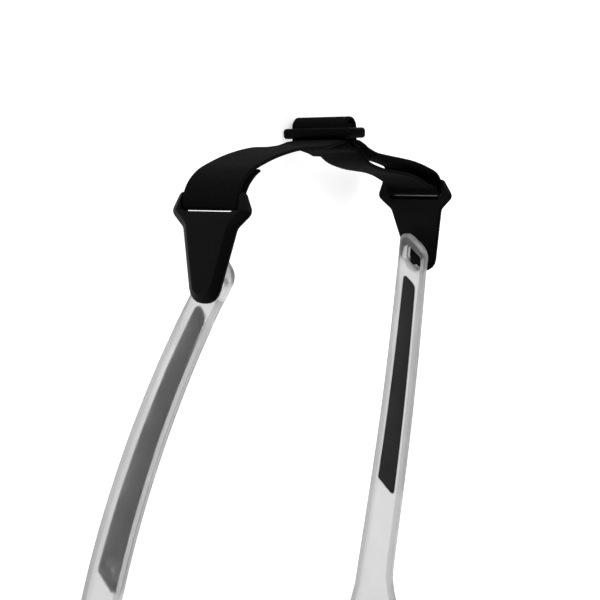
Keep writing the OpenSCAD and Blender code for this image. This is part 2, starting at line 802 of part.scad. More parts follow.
left_inner = concat(
    spread([[20.5, 9.7], [26.5, 8.9], [31.2, 8.3], [36, 7.2], [41, 5.3], [43.4, 4.1]]),
    [[rail_in - 0.4, 3]]
);
left_outer = concat(
    [[rail_out, 3.1], [rail_out - 0.4, 4.9]],
    spread([[45.6, 7], [43, 8.6], [39.4, 9.75], [34.8, 10.8], [29.9, 11.6], [22.7, 12.6]])
);
outer_run = [
    each spread([[15.6, 13.7], [12.3, 14.5]]), [slide_x + 8.4, slide_y - 3], [slide_x + 6.9, slide_y - 2.2],
    [slide_x + 5.5, slide_y - 1.55], [slide_x + 4.1, slide_y - 1.05], [slide_x + running + 0.5, slide_y - 0.85],
    [slide_x + running, slide_y]
];
arch_run = [
    [slide_x + running, top_y - 0.2], [slide_x + running - 0.15, top_y + 1.05], [slide_x + 1.55, arch - 0.65],
    [slide_x + 0.85, arch - 0.12], [slide_x, arch], [slide_x - 0.85, arch - 0.12],
    [slide_x - 1.55, arch - 0.65], [slide_x - running + 0.15, top_y + 1.05],
    [slide_x - running, top_y - 0.2], [slide_x - running, slide_y]
];
near_run = [
    [slide_x - running - 0.5, slide_y - 0.9], each spread([[-3.9, 17.1], [-6, 16.65], [-8.7, 16.2], [-13.4, 15.9]])
];
right_outer = concat(
    spread([
        [-18.9, 15.9], [-22.3, 15.6], [-25.8, 15.1], [-30.9, 14.1], [-36, 12.7], [-41, 10.95],
        [-44.2, 8.95], [-46.1, 7]
    ]),
    [[-rail_out + 0.4, 4.8], [-rail_out, 3.1]]
);
tail = concat([[-rail_in, 2.9]], spread([[-44.9, 4.6], [-44, 6.1], [-42.6, 7.8], [-40.2, 9.7], [-38.6, 10.5]]));
first_points = concat(sewn_end, sewn_loop, inner_run, left_inner);
second_points = concat(left_outer, outer_run, arch_run, near_run, right_outer);
tape_path = concat(
    curve(first_points), rail_turn(rail_in, rail_out), curve(second_points),
    rail_turn(-rail_out, -rail_in), curve(tail)
);
second_from = (len(first_points) - 1) * bend_n + 1 + 2 * (corner_n + 1);
left_from = (len(first_points) - len(left_inner) - 1) * bend_n;
left_to = second_from + len(left_outer) * bend_n;
right_from = second_from + (len(second_points) - len(right_outer) - 1) * bend_n;
right_to = len(tape_path) - 1;

// Stretch of the tape between two points of its path
module tape(from, to) {
    right_side = beside(tape_path, -tape_t / 2);
    left_side = beside(tape_path, tape_t / 2);
    color(ink)
        in_strap()
        translate([0, 0, -tape_w / 2])
        linear_extrude(height = tape_w)
        polygon(concat(
            [for (i = [from:to]) right_side[i]],
            [for (i = [to:-1:from]) left_side[i]]
        ));
}

// The stretch that bends as the slide moves along the tape
module tape_middle() {
    tape(0, left_from);
    tape(left_to, right_from);
}

// Slide: a rounded plate with two slots and a bar between them
slide_round = 0.8;
slide_corner = 1.2;
slot_clear = 2 * layer + 1.5 * tape_gap;
function slide_outline(d) =
    let (w = slide_w / 2 - d, l = slide_l / 2 - d)
    rounded([[-w, -l], [w, -l], [w, l], [-w, l]], [for (i = [0:3]) slide_corner - d]);
module strap_slide() {
    color(ink)
        in_strap()
        translate([slide_x, slide_y, 0])
        difference() {
            rotate([0, 0, 90]) skin([
                for (a = [90, 60, 30, 0])
                    lay(slide_outline(slide_round * (1 - cos(a))), slide_t - slide_round * (1 - sin(a))),
                for (a = [0, 30, 60, 90])
                    lay(slide_outline(slide_round * (1 - cos(a))), slide_round * (1 - sin(a)))
            ]);
            for (side = [-1, 1])
                translate([side * (middle_w + slot_clear) / 2, slide_t / 2, 0])
                cube([slot_clear, slide_t + 2 * over, 2 * slot_half - 0.1], center = true);
        }
}

front_frame();
shield_lens();
nose_clip();
on_right() nose_pad();  // nose_pad_right
nose_pad();  // nose_pad_left
on_right() hinge_screw();  // right_hinge_screw
hinge_screw();  // left_hinge_screw
color(frosted) on_right() left_arm();  // right_temple
color(frosted) left_arm();  // left_temple
on_right() arm_inlay();  // right_temple_pad
arm_inlay();  // left_temple_pad
on_right() connector();  // right_connector
connector();  // left_connector
tape(right_from, right_to);  // tape_right
tape_middle();
tape(left_from, left_to);  // tape_left
strap_slide();
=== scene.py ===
"""Looks of the shield sunglasses with their removable elastic strap.

The CAD model gives every rigid form. Each rigid node is dressed here by a merged copy of itself
with rounded edges, and the elastic is a surface swept along the path that the CAD source draws.
"""

import json
import logging
import math
from dataclasses import dataclass
from enum import Enum

import bmesh
import bpy
import numpy as np
from mathutils import Matrix


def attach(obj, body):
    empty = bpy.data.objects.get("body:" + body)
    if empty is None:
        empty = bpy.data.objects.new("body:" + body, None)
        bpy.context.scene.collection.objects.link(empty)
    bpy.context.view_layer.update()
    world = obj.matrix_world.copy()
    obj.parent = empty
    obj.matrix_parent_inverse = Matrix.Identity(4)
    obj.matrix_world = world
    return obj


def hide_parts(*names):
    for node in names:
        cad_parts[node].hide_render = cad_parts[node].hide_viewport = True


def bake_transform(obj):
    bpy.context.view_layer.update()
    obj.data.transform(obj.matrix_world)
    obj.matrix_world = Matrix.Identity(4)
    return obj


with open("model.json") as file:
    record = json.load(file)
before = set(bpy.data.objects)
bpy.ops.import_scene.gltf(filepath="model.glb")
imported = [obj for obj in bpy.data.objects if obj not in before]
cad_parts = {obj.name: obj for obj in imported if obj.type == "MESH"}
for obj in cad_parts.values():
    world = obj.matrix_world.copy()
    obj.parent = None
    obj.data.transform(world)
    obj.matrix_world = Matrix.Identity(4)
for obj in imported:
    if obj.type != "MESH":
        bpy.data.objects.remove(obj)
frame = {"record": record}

LOG = logging.getLogger("sunglasses")
MM = 0.001
WHITE = (1, 1, 1, 1)

# The points of a moulded copy merge in two passes, the second wider, so that no sliver is rounded.
MERGE_REACHES = (2e-6, 2e-5)
# Faces that turn by less than this are one flat face.
FLAT_ANGLE = math.radians(0.4)


class Side(Enum):
    """Side of the wearer, with its sign on the X axis."""

    RIGHT = -1
    LEFT = 1

    @property
    def word(self) -> str:
        """Name of the side as the nodes spell it."""
        return self.name.lower()


class Slot(Enum):
    """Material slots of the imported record."""

    FROSTED = "frosted_plastic"
    LENS = "lens"
    NYLON = "black_plastic"
    RUBBER = "soft_rubber"
    ELASTIC = "elastic"
    STEEL = "screw_steel"


# ---- Shader graphs


@dataclass
class Graph:
    """A node tree that is filled step by step."""

    tree: bpy.types.NodeTree

    def add(self, kind: str, **values: object) -> bpy.types.Node:
        """Add a node.

        Args:
            kind: type name of the node.
            values: properties of the node, set before its sockets are read.

        Returns:
            The new node.
        """
        node = self.tree.nodes.new(kind)
        for name, value in values.items():
            setattr(node, name, value)
        return node

    def join(self, source: bpy.types.NodeSocket, target: bpy.types.NodeSocket) -> None:
        """Link an output to an input."""
        self.tree.links.new(source, target)

    def feed(self, value: object, target: bpy.types.NodeSocket) -> None:
        """Link a socket to an input, or write a plain value into it.

        Args:
            value: socket, number or colour.
            target: input that takes it.
        """
        if isinstance(value, bpy.types.NodeSocket):
            self.join(value, target)
        else:
            target.default_value = value

    def math(self, operation: str, a: object, b: object = 0.0) -> bpy.types.NodeSocket:
        """Add a Math node.

        Args:
            operation: name of the operation.
            a: first number or socket.
            b: second number or socket.

        Returns:
            The node's output.
        """
        node = self.add("ShaderNodeMath", operation=operation)
        self.feed(a, node.inputs[0])
        self.feed(b, node.inputs[1])
        return node.outputs[0]

    def noise(
        self, vector: bpy.types.NodeSocket, scale: object, octaves: float
    ) -> bpy.types.NodeSocket:
        """Add a Noise Texture.

        Args:
            vector: coordinates to read.
            scale: number or socket of the noise's scale.
            octaves: number of finer and finer layers.

        Returns:
            The grey output.
        """
        node = self.add("ShaderNodeTexNoise")
        self.join(vector, node.inputs["Vector"])
        node.inputs["Detail"].default_value = octaves
        self.feed(scale, node.inputs["Scale"])
        return node.outputs["Fac"]

    def span(self, value: bpy.types.NodeSocket, low: object, high: object) -> bpy.types.NodeSocket:
        """Map a value from 0..1 to low..high.

        Args:
            value: socket to map.
            low: number or socket at 0.
            high: number or socket at 1.

        Returns:
            The mapped output.
        """
        node = self.add("ShaderNodeMapRange")
        self.join(value, node.inputs["Value"])
        self.feed(low, node.inputs["To Min"])
        self.feed(high, node.inputs["To Max"])
        return node.outputs[0]

    def mix(
        self, share: bpy.types.NodeSocket, a: object, b: object, **kind: str
    ) -> bpy.types.NodeSocket:
        """Mix two numbers or two colours.

        Args:
            share: 0 where the first one shows and 1 where the second does.
            a: first number, colour or socket.
            b: second number, colour or socket.
            kind: properties of the node.

        Returns:
            The mixed output.
        """
        node = self.add("ShaderNodeMix", **kind)
        self.join(share, node.inputs["Factor"])
        self.feed(a, node.inputs["A"])
        self.feed(b, node.inputs["B"])
        return node.outputs["Result"]


def shader_group(
    name: str, inputs: dict[str, float], outputs: tuple[str, ...]
) -> tuple[Graph, bpy.types.Node, bpy.types.Node]:
    """Start a node group with a vector input, named numbers and named outputs.

    Args:
        name: name of the group.
        inputs: default value of each number.
        outputs: names of the outputs, all plain numbers.

    Returns:
        The group's graph, its input node and its output node.
    """
    tree = bpy.data.node_groups.new(name, "ShaderNodeTree")
    tree.interface.new_socket("Vector", in_out="INPUT", socket_type="NodeSocketVector")
    for word, value in inputs.items():
        socket = tree.interface.new_socket(word, in_out="INPUT", socket_type="NodeSocketFloat")
        socket.default_value = value
    for word in outputs:
        tree.interface.new_socket(word, in_out="OUTPUT", socket_type="NodeSocketFloat")
    graph = Graph(tree)
    return graph, graph.add("NodeGroupInput"), graph.add("NodeGroupOutput")


def grain_group() -> bpy.types.NodeTree:
    """Moulded grain: fine pits over slow waves, and a mask of where hands have polished it.

    Height is the pits times their share, plus the waves times the rest.

    Returns:
        The group, with the outputs Height and Polish.
    """
    pit_share, pit_octaves, wave_octaves = 0.75, 3.0, 2.0
    least_polish, most_polish = -0.6, 1.6
    sizes = {"Scale": 2500.0, "Waves": 120.0}
    graph, given, result = shader_group("moulded_grain", sizes, ("Height", "Polish"))
    vector = given.outputs["Vector"]
    pits = graph.noise(vector, given.outputs["Scale"], pit_octaves)
    waves = graph.noise(vector, given.outputs["Waves"], wave_octaves)
    pits_part = graph.math("MULTIPLY", pits, pit_share)
    waves_part = graph.math("MULTIPLY", waves, 1 - pit_share)
    graph.join(graph.math("ADD", pits_part, waves_part), result.inputs["Height"])
    graph.join(graph.span(waves, least_polish, most_polish), result.inputs["Polish"])
    return graph.tree


def painted_bevel_shade_group() -> bpy.types.NodeTree:
    """Painted bevel shade mask: 1 on faces that slant between upright and level, 0 on broad faces
    and flat tops.

    Bevel is the product of two smooth steps over the size of the normal's upright part: one that
    rises from Start, and one that falls to 0 at Stop.

    Returns:
        The group, with the output Bevel.
    """
    step_widths = {"Start": 0.2, "Stop": -0.25}
    graph, given, result = shader_group("plate_bevels", {"Start": 0.12, "Stop": 0.92}, ("Bevel",))
    split = graph.add("ShaderNodeSeparateXYZ")
    graph.join(given.outputs["Vector"], split.inputs[0])
    steep = graph.math("ABSOLUTE", split.outputs["Z"])
    steps = []
    for limit, width in step_widths.items():
        ramp = graph.add("ShaderNodeMapRange", interpolation_type="SMOOTHSTEP")
        graph.join(steep, ramp.inputs["Value"])
        graph.join(given.outputs[limit], ramp.inputs["From Min"])
        graph.join(graph.math("ADD", given.outputs[limit], width), ramp.inputs["From Max"])
        steps.append(ramp.outputs[0])
    graph.join(graph.math("MULTIPLY", *steps), result.inputs["Bevel"])
    return graph.tree


def weave_group() -> bpy.types.NodeTree:
    """Woven elastic: lengthwise rubber ribs crossed by weft threads.

    The first coordinate runs along the tape and the second across it, both in millimetres. Height
    is a power of a rib wave, times a raised weft wave that moves on by half a thread from each rib
    to the next. A slow noise lets the weft wander along the tape.

    Returns:
        The group, with the outputs Height, Valley and Fuzz.
    """
    wander, wander_scale, wander_octaves = 0.35, 1.3, 2.0
    rib_power, weft_share = 0.5, 0.6
    fuzz_scale, fuzz_octaves = 2.2, 3.0
    sizes = {"Rib": 0.85, "Weft": 0.62}
    graph, given, result = shader_group("elastic_weave", sizes, ("Height", "Valley", "Fuzz"))
    vector = given.outputs["Vector"]
    split = graph.add("ShaderNodeSeparateXYZ")
    graph.join(vector, split.inputs[0])
    along, across = split.outputs["X"], split.outputs["Y"]
    drift = graph.math("SUBTRACT", graph.noise(vector, wander_scale, wander_octaves), 0.5)
    wobble = graph.math("MULTIPLY", drift, wander)
    rib_turns = graph.math("DIVIDE", across, given.outputs["Rib"])
    rib = graph.math("ABSOLUTE", graph.math("SINE", graph.math("MULTIPLY", rib_turns, math.pi)))
    row = graph.math("MULTIPLY", graph.math("FLOOR", rib_turns), math.pi * 0.5)
    wefts = graph.math("DIVIDE", graph.math("ADD", along, wobble), given.outputs["Weft"])
    weft_turns = graph.math("MULTIPLY", wefts, math.pi)
    weft = graph.math("ABSOLUTE", graph.math("SINE", graph.math("ADD", weft_turns, row)))
    rounded = graph.math("POWER", rib, rib_power)
    raised = graph.math("ADD", graph.math("MULTIPLY", weft, weft_share), 1 - weft_share)
    height = graph.math("MULTIPLY", rounded, raised)
    graph.join(height, result.inputs["Height"])
    graph.join(graph.math("SUBTRACT", 1.0, height), result.inputs["Valley"])
    graph.join(graph.noise(vector, fuzz_scale, fuzz_octaves), result.inputs["Fuzz"])
    return graph.tree


@dataclass(frozen=True)
class Finish:
    """A surface with its colour, its gloss and the strength of its grain.

    Rough is the lowest and the highest roughness, bump the strength of the relief and depth its
    height in metres, grain the scale of the pits, shift the share by which the colour varies, and
    gloss the strength of the mirrored light.
    """

    name: str
    slot: Slot
    colour: tuple[float, float, float]
    rough: tuple[float, float]
    bump: float = 0.05
    grain: float = 2500.0
    depth: float = 0.00002
    shift: float = 0.12
    gloss: float = 0.5
    metallic: float = 0.0

    def start(self) -> tuple[Graph, bpy.types.Node, bpy.types.Node, bpy.types.Material]:
        """Make the material with its Principled shader.

        Returns:
            The graph, the shader, the output node and the material.
        """
        material = bpy.data.materials.new(self.name)
        material.use_nodes = True
        graph = Graph(material.node_tree)
        graph.tree.nodes.clear()
        shader = graph.add("ShaderNodeBsdfPrincipled")
        output = graph.add("ShaderNodeOutputMaterial")
        graph.join(shader.outputs[0], output.inputs["Surface"])
        shader.inputs["Specular IOR Level"].default_value = self.gloss
        return graph, shader, output, material

    def shade_by(self, share: float) -> tuple[float, ...]:
        """Colour made lighter by a share, or darker by a negative one, with its alpha."""
        return (*(min(1.0, c * (1 + share)) for c in self.colour), 1)

    def grained(self, graph: Graph, shader: bpy.types.Node) -> None:
        """Give the shader its grain. Polished places are glossier and a little lighter.

        Args:
            graph: graph of the material.
            shader: its Principled shader.
        """
        place = graph.add("ShaderNodeTexCoord")
        group = graph.add("ShaderNodeGroup", node_tree=bpy.data.node_groups["moulded_grain"])
        graph.join(place.outputs["Object"], group.inputs["Vector"])
        group.inputs["Scale"].default_value = self.grain
        polish = group.outputs["Polish"]
        graph.join(graph.span(polish, self.rough[1], self.rough[0]), shader.inputs["Roughness"])
        low, high = self.shade_by(-self.shift), self.shade_by(self.shift)
        tint = graph.mix(polish, low, high, data_type="RGBA")
        graph.join(tint, shader.inputs["Base Color"])
        self.emboss(graph, shader, group.outputs["Height"])

    def emboss(self, graph: Graph, shader: bpy.types.Node, height: bpy.types.NodeSocket) -> None:
        """Let a relief bend the shader's normal.

        Args:
            graph: graph of the material.
            shader: its Principled shader.
            height: height of the relief, from 0 to 1.
        """
        bump = graph.add("ShaderNodeBump")
        bump.inputs["Strength"].default_value = self.bump
        bump.inputs["Distance"].default_value = self.depth
        graph.join(height, bump.inputs["Height"])
        graph.join(bump.outputs["Normal"], shader.inputs["Normal"])

    def make(self) -> bpy.types.Material:
        """Build an opaque moulded or turned material.

        Returns:
            The material.
        """
        graph, shader, _, material = self.start()
        self.grained(graph, shader)
        shader.inputs["Metallic"].default_value = self.metallic
        return material


@dataclass(frozen=True)
class ClearFinish(Finish):
    """A see-through plastic that lets part of the light on to what lies behind it.

    Shade is the share of the light that its shadow takes, clear the weight of the transmission,
    and edge the share of the base colour that its bevels lose to painted shade.
    """

    ior: float = 1.49
    shade: float = 0.5
    clear: float = 1.0
    edge: float = 0.0

    def make(self) -> bpy.types.Material:
        """Build the clear material, whose shadow lets the share 1 - shade of the light pass.

        Returns:
            The material.
        """
        graph, shader, output, material = self.start()
        self.grained(graph, shader)
        # Painted shade: the bevels of the clear plastic get a darker base colour.
        if self.edge:
            self.paint_bevel_shade(graph, shader)
        shader.inputs["Transmission Weight"].default_value = self.clear
        shader.inputs["IOR"].default_value = self.ior
        path = graph.add("ShaderNodeLightPath")
        through = graph.add("ShaderNodeBsdfTransparent")
        mix = graph.add("ShaderNodeMixShader")
        passing = graph.math("MULTIPLY", path.outputs["Is Shadow Ray"], 1 - self.shade)
        graph.join(passing, mix.inputs[0])
        graph.join(shader.outputs[0], mix.inputs[1])
        graph.join(through.outputs[0], mix.inputs[2])
        graph.join(mix.outputs[0], output.inputs["Surface"])
        return material

    def paint_bevel_shade(self, graph: Graph, shader: bpy.types.Node) -> None:
        """Paint shade on the bevels of the plate by taking the share `edge` off the base colour.

        Args:
            graph: graph of the material.
            shader: its Principled shader, with its base colour linked.
        """
        place = graph.add("ShaderNodeTexCoord")
        group = graph.add("ShaderNodeGroup", node_tree=bpy.data.node_groups["plate_bevels"])
        graph.join(place.outputs["Normal"], group.inputs["Vector"])
        base, grey = shader.inputs["Base Color"], (1 - self.edge,) * 3 + (1,)
        colour, bevel = base.links[0].from_socket, group.outputs["Bevel"]
        graph.join(graph.mix(bevel, colour, grey, data_type="RGBA", blend_type="MULTIPLY"), base)


@dataclass(frozen=True)
class WovenFinish(Finish):
    """Woven elastic that follows the piece's own UV map, in millimetres.

    Rib and weft are the distances from thread to thread, specks the values to which the fuzz is
    stretched to make specks, and fuzz its height against that of the threads.
    """

    rib: float = 0.85
    weft: float = 0.62
    sheen: float = 0.015
    sheen_rough: float = 0.4
    specks: tuple[float, float] = (-1.0, 2.0)
    fuzz: float = 0.3

    def make(self) -> bpy.types.Material:
        """Build the cloth: threads stand up, valleys darken as painted shade, specks darken at
        random, and fuzz roughens it.

        Returns:
            The material.
        """
        graph, shader, _, material = self.start()
        place = graph.add("ShaderNodeUVMap", uv_map="UVMap")
        group = graph.add("ShaderNodeGroup", node_tree=bpy.data.node_groups["elastic_weave"])
        graph.join(place.outputs[0], group.inputs["Vector"])
        group.inputs["Rib"].default_value = self.rib
        group.inputs["Weft"].default_value = self.weft
        height, valley_shade, fuzz = (group.outputs[word] for word in ("Height", "Valley", "Fuzz"))
        # Painted shade: the base colour darkens in the valleys between the threads; the specks add
        # random dark tone.
        specks = graph.math("MULTIPLY", graph.span(fuzz, *self.specks), 0.5)
        depth = graph.math("ADD", graph.math("MULTIPLY", valley_shade, 0.5), specks)
        high, low = self.shade_by(self.shift), self.shade_by(-self.shift)
        tint = graph.mix(depth, high, low, data_type="RGBA")
        graph.join(tint, shader.inputs["Base Color"])
        graph.join(graph.span(fuzz, *self.rough), shader.inputs["Roughness"])
        shader.inputs["Sheen Weight"].default_value = self.sheen
        shader.inputs["Sheen Roughness"].default_value = self.sheen_rough
        relief = graph.math("ADD", height, graph.math("MULTIPLY", fuzz, self.fuzz))
        self.emboss(graph, shader, relief)
        return material


# edge=0.27 paints shade on the bevels of the frosted plastic.
FROSTED = ClearFinish(
    "frosted_clear_plastic", Slot.FROSTED, (0.57, 0.57, 0.57), (0.34, 0.40),
    bump=0.04, grain=3000.0, shift=0.02, gloss=0.22, clear=0.98, edge=0.27,
)
SMOKE = ClearFinish(
    "smoke_lens", Slot.LENS, (0.16, 0.18, 0.20), (0.02, 0.06),
    bump=0.004, grain=200.0, shift=0.05, ior=1.58,
)
NYLON = Finish(
    "black_moulded_nylon", Slot.NYLON, (0.0015, 0.0015, 0.0017), (0.34, 0.46),
    bump=0.2, grain=2600.0, gloss=0.07,
)
# Painted shade: the slide wears a darker, less glossy copy of the black nylon.
SHADED_SLIDE_NYLON = Finish(
    "black_slide_nylon", Slot.NYLON, (0.0012, 0.0012, 0.0014), (0.4, 0.52),
    bump=0.2, grain=3000.0, gloss=0.04,
)
RUBBER = Finish(
    "soft_black_rubber", Slot.RUBBER, (0.010, 0.010, 0.011), (0.5, 0.65),
    bump=0.3, grain=1800.0, gloss=0.32,
)
STEEL = Finish(
    "turned_steel", Slot.STEEL, (0.6, 0.61, 0.63), (0.2, 0.34),
    bump=0.1, grain=1500.0, metallic=1.0,
)
# shift=0.75 sets how dark the painted valley shade and the random specks are.
WEBBING = WovenFinish(
    "woven_black_elastic", Slot.ELASTIC, (0.0022, 0.0022, 0.0024), (0.75, 0.98),
    bump=0.75, depth=0.00014, shift=0.75, gloss=0.045,
)


def material_of(finish: Finish) -> bpy.types.Material:
    """Material of a finish, made on first use."""
    return bpy.data.materials.get(finish.name) or finish.make()


def dress(piece: bpy.types.Object, finish: Finish) -> None:
    """Give a piece one finish.

    Args:
        piece: object to dress.
        finish: its finish.
    """
    piece.data.materials.clear()
    piece.data.materials.append(material_of(finish))


# ---- Surfaces


def mesh_piece(name: str, points: np.ndarray, faces: list[tuple[int, ...]]) -> bpy.types.Object:
    """Make an object from points and faces.

    Args:
        name: name of the piece.
        points: array of places in metres, one row each.
        faces: corners of each face.

    Returns:
        The object, in the scene and at the origin.
    """
    mesh = bpy.data.meshes.new(name)
    mesh.from_pydata(points.tolist(), [], faces)
    mesh.validate()
    piece = bpy.data.objects.new(name, mesh)
    bpy.context.scene.collection.objects.link(piece)
    return piece


def tube_faces(rings: int, sides: int) -> list[tuple[int, ...]]:
    """Faces of a closed-section tube with flat ends.

    Args:
        rings: number of sections.
        sides: points in each section.

    Returns:
        The quads between the sections and one face at each end.
    """
    ring = np.arange(rings - 1)[:, None] * sides
    here = np.arange(sides)[None, :]
    after = (here + 1) % sides
    corners = [ring + here, ring + after, ring + sides + after, ring + sides + here]
    quads = np.stack(corners, -1).reshape(-1, 4)
    faces = [tuple(q) for q in quads.tolist()]
    faces.append(tuple(range(sides - 1, -1, -1)))
    last = (rings - 1) * sides
    faces.append(tuple(range(last, last + sides)))
    return faces


def spline(points: np.ndarray, steps: int) -> np.ndarray:
    """Smooth curve through points: each span is a cubic whose end slopes join the neighbours.

    Args:
        points: array of places.
        steps: points made in each span.

    Returns:
        The curve's points, the last one included.
    """
    padded = np.concatenate([points[:1], points, points[-1:]])
    t = np.linspace(0, 1, steps, endpoint=False)[None, :, None]
    a, b, c, d = (padded[i:len(padded) - 3 + i, None, :] for i in range(4))
    square, cube = 2 * a - 5 * b + 4 * c - d, 3 * b - a - 3 * c + d
    curve = 0.5 * (2 * b + (c - a) * t + square * t**2 + cube * t**3)
    return np.concatenate([curve.reshape(-1, points.shape[1]), points[-1:]])


def round_turn(
    p: np.ndarray, q: np.ndarray, s: np.ndarray, radius: float, steps: int
) -> np.ndarray:
    """Arc that rounds the corner q between the neighbours p and s.

    Args:
        p: point before the corner.
        q: the corner.
        s: point after the corner.
        radius: radius of the arc.
        steps: number of steps along it.

    Returns:
        The arc's points.
    """
    a = (p - q) / np.linalg.norm(p - q)
    b = (s - q) / np.linalg.norm(s - q)
    opening = math.acos(float(a @ b)) / 2
    centre = q + (a + b) / np.linalg.norm(a + b) * radius / math.sin(opening)
    first = q + a * radius / math.tan(opening) - centre
    turn = 1 if a[1] * b[0] - a[0] * b[1] > 0 else -1
    sweep = np.linspace(0, math.pi - 2 * opening, steps + 1)
    angles = math.atan2(first[1], first[0]) + turn * sweep
    return centre + radius * np.stack([np.cos(angles), np.sin(angles)], -1)


def read_array(items: object, word: str, width: int = 1, kind: type = np.float32) -> np.ndarray:
    """Read one property of all vertices, corners or faces of a mesh.

    Args:
        items: the vertices, corners or faces.
        word: name of the property.
        width: how many numbers each one has.
        kind: type of the numbers.

    Returns:
        One row for each, or a flat array where the width is 1.
    """
    values = np.empty(len(items) * width, kind)
    items.foreach_get(word, values)
    return values.reshape(-1, width) if width > 1 else values


@dataclass
class Moulding:
    """A rigid piece: the merged copy of its CAD node with every sharp edge rounded.

    Edge is the reach of a rounding in millimetres, segments the number of faces across it, and
    limit the turn in degrees from which an edge is sharp.
    """

    node: str
    body: str
    finish: Finish
    edge: float = 0.12
    segments: int = 2
    limit: float = 24.0

    def build(self) -> bpy.types.Object:
        """Copy the node, join its loose triangles into one skin, round its edges and dress it.

        Returns:
            The piece, which stands for the node.
        """
        skin = bmesh.new()
        skin.from_mesh(bpy.data.objects[self.node].data)
        for reach in MERGE_REACHES:
            bmesh.ops.remove_doubles(skin, verts=skin.verts, dist=reach)
        bmesh.ops.dissolve_limit(
            skin, angle_limit=FLAT_ANGLE, verts=skin.verts, edges=skin.edges
        )
        mesh = bpy.data.meshes.new(self.node + "_moulded")
        skin.to_mesh(mesh)
        skin.free()
        mesh.polygons.foreach_set("use_smooth", np.ones(len(mesh.polygons), bool))
        piece = bpy.data.objects.new(self.node + "_moulded", mesh)
        bpy.context.scene.collection.objects.link(piece)
        bevel = piece.modifiers.new("rounded_edges", "BEVEL")
        bevel.width = self.edge * MM
        bevel.segments = self.segments
        bevel.limit_method = "ANGLE"
        bevel.angle_limit = math.radians(self.limit)
        bevel.harden_normals = True
        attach(piece, self.body)
        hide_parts(self.node)
        dress(piece, self.finish)
        return piece


@dataclass
class LensMoulding(Moulding):
    """The shield lens, whose broad faces shade as the cylinders that the CAD facets stand for.

    Axis is the direction of the cylinders. Broad and cut are how squarely a broad face, and a face
    of the rounding next to it, look away from the axis, and square is how far the normal of a face
    may lean along it, for that face to help in placing the axis.
    """

    axis: tuple[float, float, float] = (0.0, 0.0, 1.0)
    broad: float = 0.97
    cut: float = 0.3
    square: float = 0.01

    def build(self) -> bpy.types.Object:
        """Build the piece, keep its rounded edges as mesh, and write the cylinders' own normals.

        Returns:
            The piece, which stands for the node.
        """
        piece = super().build()
        piece.modifiers["rounded_edges"].harden_normals = False
        solid = piece.evaluated_get(bpy.context.evaluated_depsgraph_get())
        mesh = bpy.data.meshes.new_from_object(solid)
        piece.modifiers.clear()
        piece.data = mesh
        dress(piece, self.finish)
        mesh.normals_split_custom_set(self.normals(mesh).tolist())
        return piece

    def normals(self, mesh: bpy.types.Mesh) -> np.ndarray:
        """Work out a normal for each corner of the mesh.

        The axis runs through the point that lies closest, by least squares, to the normals of all
        faces that stand along it. A corner of a broad face, or of the rounding next to one, looks
        straight away from that axis or towards it; every other corner keeps its own normal.

        Args:
            mesh: mesh of the lens with its rounded edges.

        Returns:
            One unit vector for each corner.
        """
        axis = np.array(self.axis) / np.linalg.norm(self.axis)
        flatten = np.eye(3) - np.outer(axis, axis)
        faces = mesh.polygons
        looks, middles = read_array(faces, "normal", 3), read_array(faces, "center", 3)
        weight = read_array(faces, "area") * (np.abs(looks @ axis) < self.square)
        across = np.eye(3) - np.einsum("ni,nj->nij", looks, looks)
        pull = np.einsum("n,nij->ij", weight, across) + np.outer(axis, axis)
        push = np.einsum("n,nij,nj->i", weight, across, middles @ flatten)
        centre = np.linalg.solve(pull, push)

        def away(points: np.ndarray) -> np.ndarray:
            """Unit vectors that look straight away from the axis at some points."""
            arms = (points - centre) @ flatten
            return arms / np.linalg.norm(arms, axis=1)[:, None]

        facing = np.einsum("ni,ni->n", looks, away(middles))
        owner = np.repeat(np.arange(len(faces)), read_array(faces, "loop_total", kind=np.int32))
        corner = read_array(mesh.loops, "vertex_index", kind=np.int32)
        side = np.zeros(len(mesh.vertices))
        on_broad = np.abs(facing[owner]) > self.broad
        side[corner[on_broad]] = np.sign(facing[owner[on_broad]])
        turned = (side[corner] != 0) & (np.abs(facing[owner]) > self.cut)
        result = read_array(mesh.corner_normals, "vector", 3)
        places = read_array(mesh.vertices, "co", 3)[corner[turned]]
        result[turned] = away(places) * side[corner[turned]][:, None]
        return result


@dataclass(frozen=True)
class Stance:
    """How the glasses stand on the floor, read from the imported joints.

    Hinge is the hinges' place in the middle plane, window the place of the strap's axis, tilt the
    tilt of the arms in radians, and upright the left fold axis.
    """

    hinge: np.ndarray
    window: np.ndarray
    tilt: float
    upright: tuple[float, float, float]

    @classmethod
    def read(cls, panto: float = 11.0) -> "Stance":
        """Read the stance from the record.

        The fold axis leans forward by the front's tilt less the tilt of the arms at rest.

        Args:
            panto: forward tilt of the hinge axes against the arms, in degrees.

        Returns:
            The stance, in metres and radians.
        """
        joints = {j["name"]: j for j in frame["record"]["behaviour"]["joints"]}
        fold, swing = joints["left_temple_fold"], joints["strap_swing"]
        tilt = math.radians(panto) - math.asin(-fold["axis"][1])
        hinge = np.array([0.0, *fold["pos_m"][1:]])
        return cls(hinge, np.array(swing["pos_m"]), tilt, tuple(fold["axis"]))

    def arm_to_row(self, points: np.ndarray) -> np.ndarray:
        """Turn directions or points of the arm space by the tilt of the arms.

        Args:
            points: one or more rows of X, Y and Z.

        Returns:
            The turned rows.
        """
        c, s = math.cos(self.tilt), math.sin(self.tilt)
        turn = np.array([[1, 0, 0], [0, c, s], [0, -s, c]])
        return np.asarray(points, float) @ turn.T


